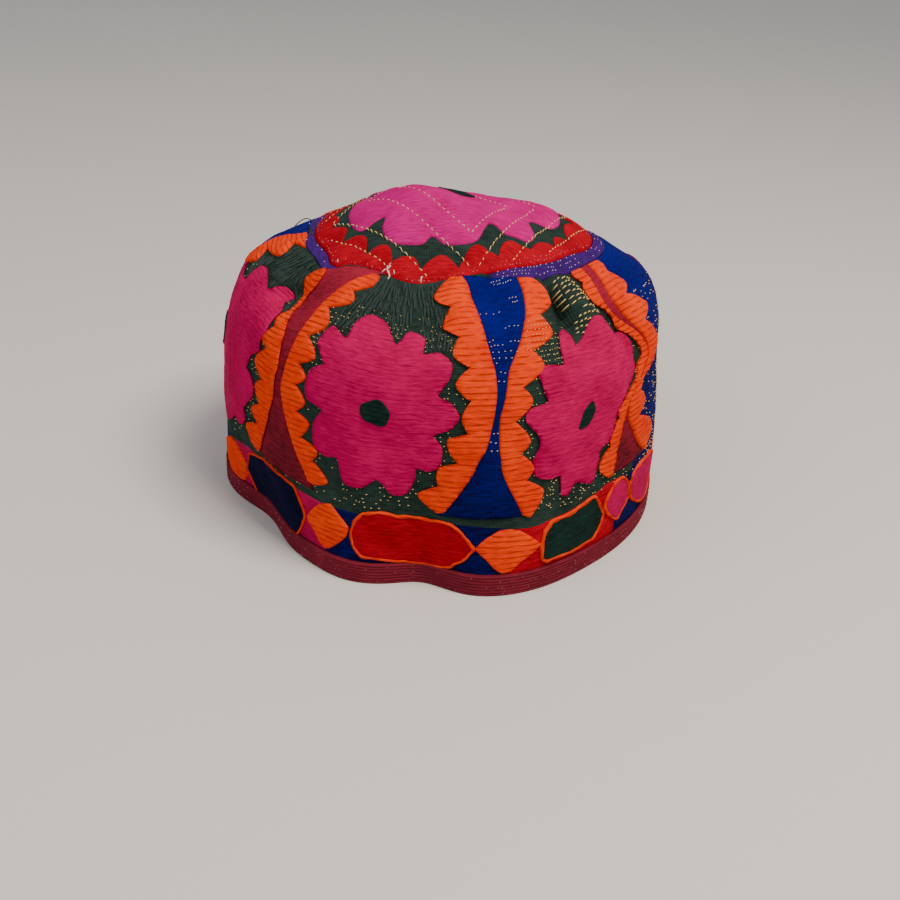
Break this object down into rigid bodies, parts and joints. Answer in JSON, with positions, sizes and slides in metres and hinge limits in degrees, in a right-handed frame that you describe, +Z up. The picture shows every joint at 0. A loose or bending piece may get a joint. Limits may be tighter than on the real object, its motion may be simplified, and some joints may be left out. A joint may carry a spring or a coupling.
{
  "type": "embroidered hat",
  "caption": "Round brimless hat of thick embroidered cloth with a low domed crown, a soft shouldered wall and a braided rim.",
  "frame": {"origin": "on the hat's axis in the plane of the rim, at the middle of its footprint", "axes": "+Z up from the rim to the crown, -Y towards the front that the picture shows, +X to the viewer's right"},
  "size_m": [0.1794, 0.1844, 0.1243],
  "materials": {
    "crown_cloth": "pink and red wool embroidery on dark green cotton, quilted with gold thread",
    "tape_weave": "violet woven tape with rows of pale dots",
    "wall_cloth": "pink flowers and orange scallops in wool on dark green cotton",
    "band_cloth": "orange, red, blue and green wool diamonds and hexagons",
    "braid": "ribbed maroon braid"
  },
  "bodies": {
    "root": {"crown": "crown_cloth", "crown_tape": "tape_weave", "side_wall": "wall_cloth", "lower_band": "band_cloth", "hem_braid": "braid"}
  },
  "joints": []
}
